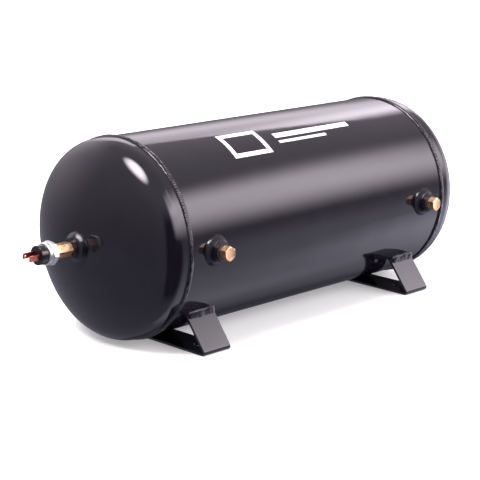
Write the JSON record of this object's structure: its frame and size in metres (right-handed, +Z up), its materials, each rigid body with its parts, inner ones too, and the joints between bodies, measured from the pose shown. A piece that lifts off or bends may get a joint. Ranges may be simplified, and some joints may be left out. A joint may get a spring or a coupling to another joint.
{
  "type": "air receiver tank",
  "caption": "Horizontal cylindrical compressed-air receiver with dished ends on bent plate feet, plugged side ports and an end-mounted pressure switch.",
  "frame": {"origin": "on the ground plane, under the middle of the whole object's bounding box", "axes": "+X along the tank's axis, away from the pressure switch; the plugged ports face -Y; +Z up"},
  "size_m": [0.6196, 0.2452, 0.2276],
  "materials": {
    "black_enamel": "high gloss black enamel with soft orange peel",
    "brass": "machined, bright",
    "zinc_plate": "bright zinc plate",
    "terminal_copper": "stamped red copper",
    "black_plastic": "moulded, half gloss",
    "black_rubber": "moulded, matte",
    "bright_steel": "plain"
  },
  "bodies": {
    "tank": {"shell": "black_enamel", "shell_seam_weld": "black_enamel", "left_head": "black_enamel", "right_head": "black_enamel", "left_girth_weld": "black_enamel", "right_girth_weld": "black_enamel", "left_foot": "black_enamel", "right_foot": "black_enamel", "left_foot_front_weld": "black_enamel", "left_foot_rear_weld": "black_enamel", "right_foot_front_weld": "black_enamel", "right_foot_rear_weld": "black_enamel", "left_port_boss": "black_enamel", "right_port_boss": "black_enamel", "switch_port_boss": "black_enamel", "left_port_weld": "black_enamel", "right_port_weld": "black_enamel", "switch_port_weld": "black_enamel", "drain_boss": "black_enamel", "drain_weld": "black_enamel", "drain_plug": "bright_steel", "switch_adapter": "brass", "switch_body": "zinc_plate", "switch_oring": "black_rubber", "switch_diaphragm": "bright_steel", "plunger_guide": "black_plastic", "return_spring": "bright_steel", "terminal_cap": "black_plastic", "near_terminal": "terminal_copper", "far_terminal": "terminal_copper"},
    "switch_plunger": {"switch_plunger": "black_plastic", "contact_bridge": "terminal_copper"},
    "left_plug_washer": {"left_plug_washer": "black_rubber"},
    "left_port_plug": {"left_port_plug": "brass"},
    "right_plug_washer": {"right_plug_washer": "black_rubber"},
    "right_port_plug": {"right_port_plug": "brass"}
  },
  "joints": [
    {"name": "plunger_travel", "type": "slide", "parent": "tank", "child": "switch_plunger", "axis": [-1, 0, 0], "range_m": [0, 0.0008], "stiffness_N_per_m": 400, "springref_m": -0.002, "deforming": ["return_spring"]},
    {"name": "left_plug_lift", "type": "slide", "parent": "tank", "child": "left_plug_washer", "axis": [0, -1, 0], "range_m": [0, 0.01]},
    {"name": "left_plug_turn", "type": "hinge", "parent": "left_plug_washer", "child": "left_port_plug", "pos_m": [-0.1442, -0.11355, 0.1143], "axis": [0, -1, 0], "range_deg": [0, 2340]},
    {"name": "right_plug_lift", "type": "slide", "parent": "tank", "child": "right_plug_washer", "axis": [0, -1, 0], "range_m": [0, 0.01]},
    {"name": "right_plug_turn", "type": "hinge", "parent": "right_plug_washer", "child": "right_port_plug", "pos_m": [0.2118, -0.11355, 0.1143], "axis": [0, -1, 0], "range_deg": [0, 2340]}
  ],
  "couplings": [
    {"joint": "left_plug_lift", "follows": "left_plug_turn", "m_per_rad": 0.00022458},
    {"joint": "right_plug_lift", "follows": "right_plug_turn", "m_per_rad": 0.00022458}
  ]
}
